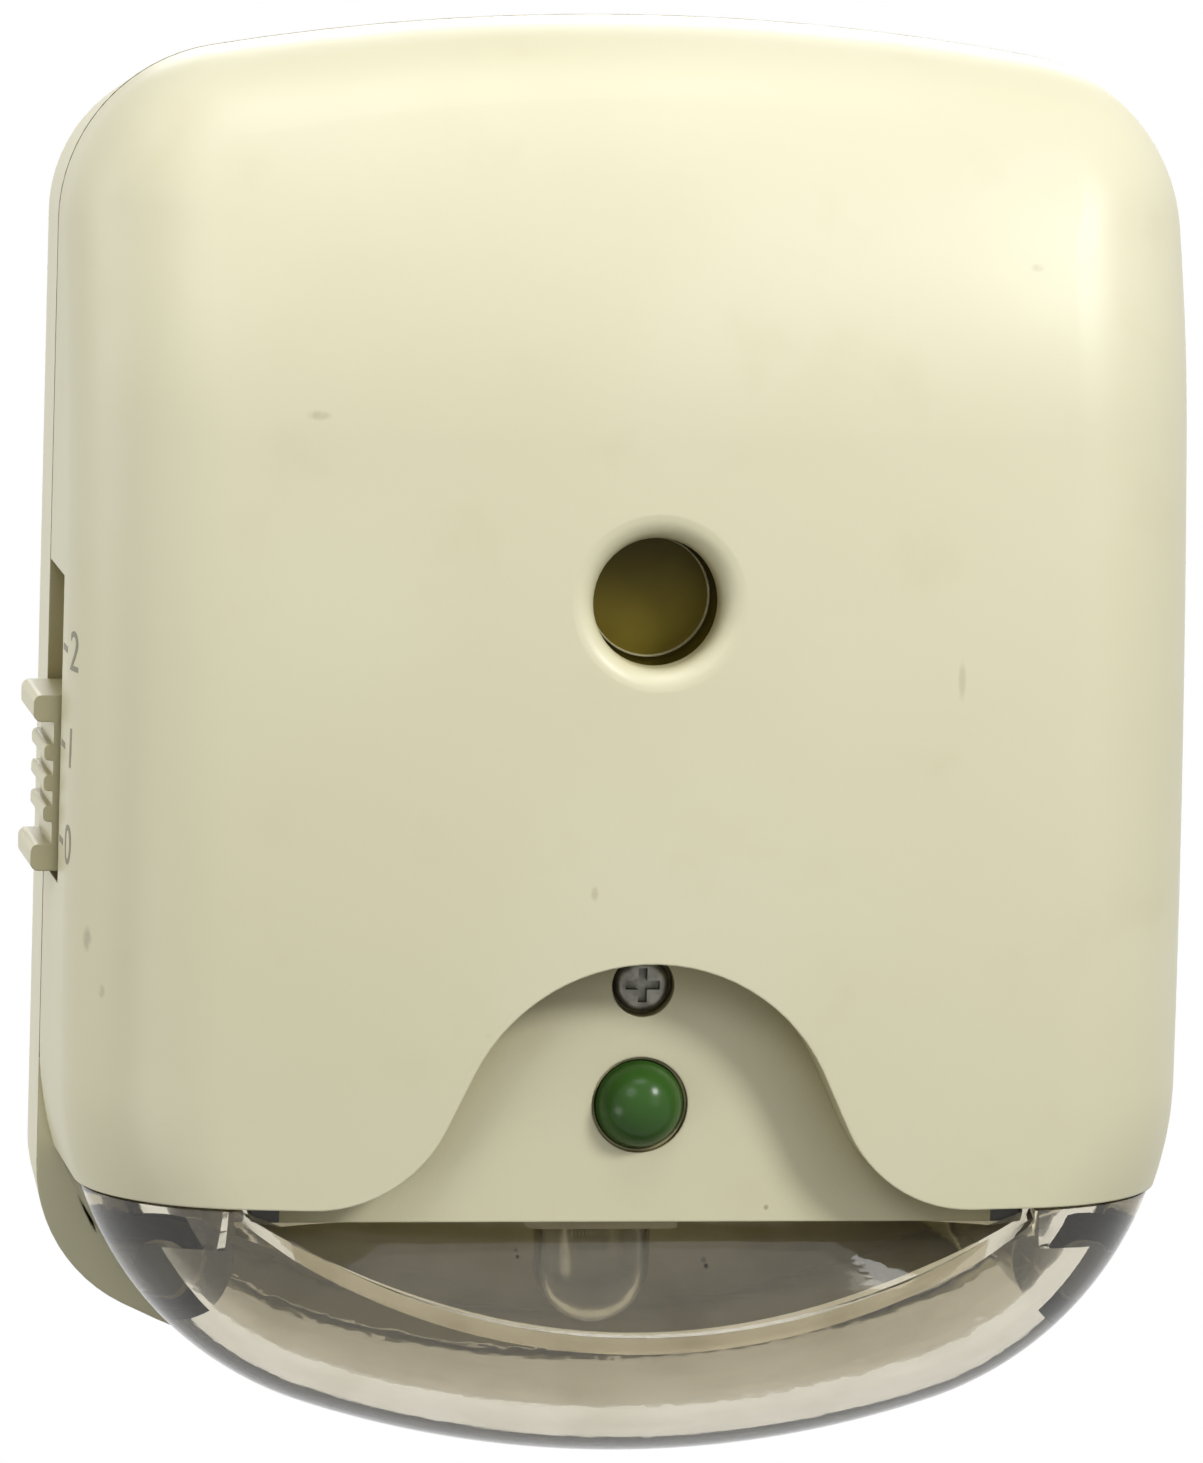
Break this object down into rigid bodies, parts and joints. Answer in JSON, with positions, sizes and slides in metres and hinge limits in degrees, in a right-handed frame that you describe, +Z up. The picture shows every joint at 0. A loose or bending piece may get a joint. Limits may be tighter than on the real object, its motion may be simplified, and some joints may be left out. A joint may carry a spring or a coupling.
{
  "type": "plug-in power failure light",
  "caption": "Rounded plug-in power failure light with a clear lamp lens below, an indicator and sounder on the front, a side slide switch and a battery door behind.",
  "frame": {"origin": "midway between the two plug blades, in the plane of the wall plate that the back rests on", "axes": "+X to the right seen from the front, +Y into the wall along the blades, +Z up; the front faces -Y"},
  "size_m": [0.0645, 0.0548, 0.0797],
  "materials": {
    "ivory_plastic": "moulded, soft gloss",
    "clear_plastic": "clear, polished",
    "bulb_glass": "clear",
    "green_epoxy": "tinted, diffused",
    "brass_sheet": "plain",
    "blade_brass": "bright",
    "piezo_ceramic": "silvered",
    "screw_steel": "plain",
    "tinned_wire": "tinned",
    "switch_can": "pressed",
    "dark_plastic": "moulded",
    "phenolic": "pressed sheet",
    "white_plastic": "moulded",
    "board_laminate": "coated",
    "battery_jacket": "printed jacket",
    "film_epoxy": "dipped",
    "capacitor_sleeve": "sleeved",
    "resistor_lacquer": "lacquered",
    "lead_jacket": "insulated"
  },
  "bodies": {
    "housing": {"front_cover": "ivory_plastic", "rear_cover": "ivory_plastic", "lens": "clear_plastic", "switch_frame": "switch_can", "switch_base": "phenolic", "switch_terminals": "tinned_wire", "lamp_bulb": "bulb_glass", "lamp_wires": "tinned_wire", "lamp_filament": "tinned_wire", "lamp_holder": "white_plastic", "indicator_led": "green_epoxy", "led_leads": "tinned_wire", "piezo_disc": "brass_sheet", "piezo_ceramic": "piezo_ceramic", "piezo_leads": "lead_jacket", "neutral_blade": "blade_brass", "line_blade": "blade_brass", "blade_retainer": "dark_plastic", "retainer_screws": "screw_steel", "mains_leads": "lead_jacket", "battery": "battery_jacket", "battery_terminals": "tinned_wire", "battery_snap": "dark_plastic", "battery_leads": "lead_jacket", "circuit_board": "board_laminate", "film_capacitor": "film_epoxy", "electrolytic_capacitor": "capacitor_sleeve", "resistors": "resistor_lacquer", "diodes": "dark_plastic", "control_chip": "dark_plastic", "transistor": "dark_plastic", "front_screw": "screw_steel", "board_screws": "screw_steel"},
    "switch_slide": {"switch_knob": "ivory_plastic", "switch_slider": "dark_plastic"},
    "battery_door": {"battery_door": "ivory_plastic"}
  },
  "joints": [
    {"name": "switch_slide", "type": "slide", "parent": "housing", "child": "switch_slide", "axis": [0, 0, 1], "range_m": [0, 0.0062]},
    {"name": "battery_door_hinge", "type": "hinge", "parent": "housing", "child": "battery_door", "pos_m": [0, -0.0012, -0.0382], "axis": [-1, 0, 0], "range_deg": [0, 100]}
  ]
}
